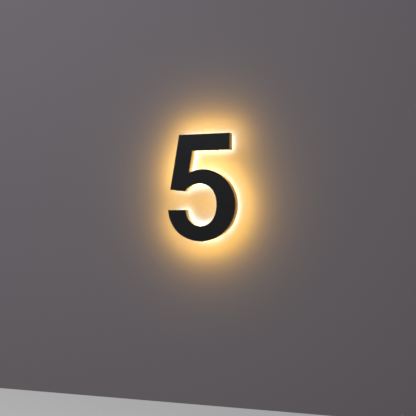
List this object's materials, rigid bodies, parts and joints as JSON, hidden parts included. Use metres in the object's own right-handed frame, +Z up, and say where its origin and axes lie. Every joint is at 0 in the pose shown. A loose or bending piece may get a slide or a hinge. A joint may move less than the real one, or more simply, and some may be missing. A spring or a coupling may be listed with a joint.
{
  "type": "illuminated house number sign",
  "caption": "Halo-lit house numeral 5: hollow black hood that draws off an opal back plate with LED modules, on spacer sleeves screwed to a wall.",
  "frame": {"origin": "on the wall plane, at the centre of the rectangle of the four wall screws", "axes": "+X to the reader's right, -Y out of the wall towards the reader, +Y into the wall, +Z up"},
  "size_m": [0.2078, 0.0733, 0.3011],
  "materials": {
    "black_powder_coat": "satin fine-texture powder coat",
    "white_film": "matte white film",
    "mill_aluminium": "sawn and turned",
    "black_rubber": "matte",
    "sealing_rubber": "matte",
    "opal_polycarbonate": "opal diffuser sheet, lit from inside",
    "clear_sleeve": "clear turned tube",
    "stainless_steel": "bright",
    "black_steel": "blackened",
    "foam_tape": "closed-cell foam",
    "white_moulding": "satin moulding",
    "circuit_board": "white solder resist",
    "led_phosphor": "phosphor",
    "clear_optic": "clear lens",
    "red_insulation": "PVC insulation",
    "black_insulation": "PVC insulation",
    "grey_nylon": "nylon moulding",
    "plated_brass": "bright"
  },
  "bodies": {
    "wall_side": {"back_plate": "opal_polycarbonate", "spacer_sleeves": "clear_sleeve", "wall_screws": "stainless_steel", "seal_washers": "sealing_rubber", "cable_grommet": "black_rubber", "lock_blocks": "mill_aluminium", "block_screws": "stainless_steel", "lock_screws": "black_steel", "tape_pads": "foam_tape", "module_cases": "white_moulding", "module_boards": "circuit_board", "led_chips": "led_phosphor", "module_optics": "clear_optic", "red_leads": "red_insulation", "black_leads": "black_insulation", "terminal_case": "grey_nylon", "terminal_contacts": "plated_brass", "terminal_screws": "stainless_steel", "terminal_pad": "foam_tape"},
    "hood": {"face_plate": "black_powder_coat", "bar_return": "black_powder_coat", "bowl_return": "black_powder_coat", "counter_return": "black_powder_coat", "lining": "white_film", "stop_pillars": "mill_aluminium", "stop_pads": "black_rubber"}
  },
  "joints": [
    {"name": "hood_draw_off", "type": "slide", "parent": "wall_side", "child": "hood", "axis": [0, -1, 0], "range_m": [0, 0.06]}
  ]
}
